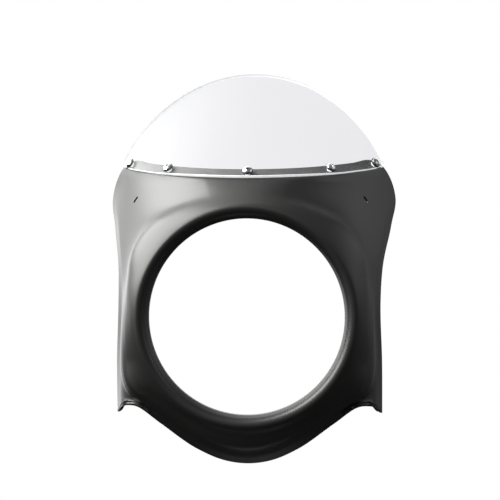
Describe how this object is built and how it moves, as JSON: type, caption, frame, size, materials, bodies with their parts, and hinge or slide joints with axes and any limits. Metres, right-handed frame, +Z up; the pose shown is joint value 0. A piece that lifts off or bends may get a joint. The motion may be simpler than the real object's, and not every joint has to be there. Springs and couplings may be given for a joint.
{
  "type": "motorcycle headlight fairing with windscreen",
  "caption": "Moulded headlight fairing for a motorcycle, with a round headlight aperture and a clear domed windscreen screwed to its top margin.",
  "frame": {"origin": "centre of the headlight aperture, halfway along its land", "axes": "-Y along the aperture's axis towards the front of the motorcycle, +Z up, +X to the viewer's right from the front"},
  "size_m": [0.2934, 0.155, 0.3927],
  "materials": {
    "shell_black": "satin black paint over moulded plastic",
    "clear_acrylic": "clear cast acrylic with polished faces and bright cut edges",
    "chrome": "bright chrome plate",
    "black_rubber": "matt",
    "zinc_steel": "bright zinc plate"
  },
  "bodies": {
    "root": {"fairing_shell": "shell_black", "windscreen": "clear_acrylic", "screen_screws": "chrome", "head_washers": "black_rubber", "backing_washers": "zinc_steel", "lock_nuts": "zinc_steel"}
  },
  "joints": []
}
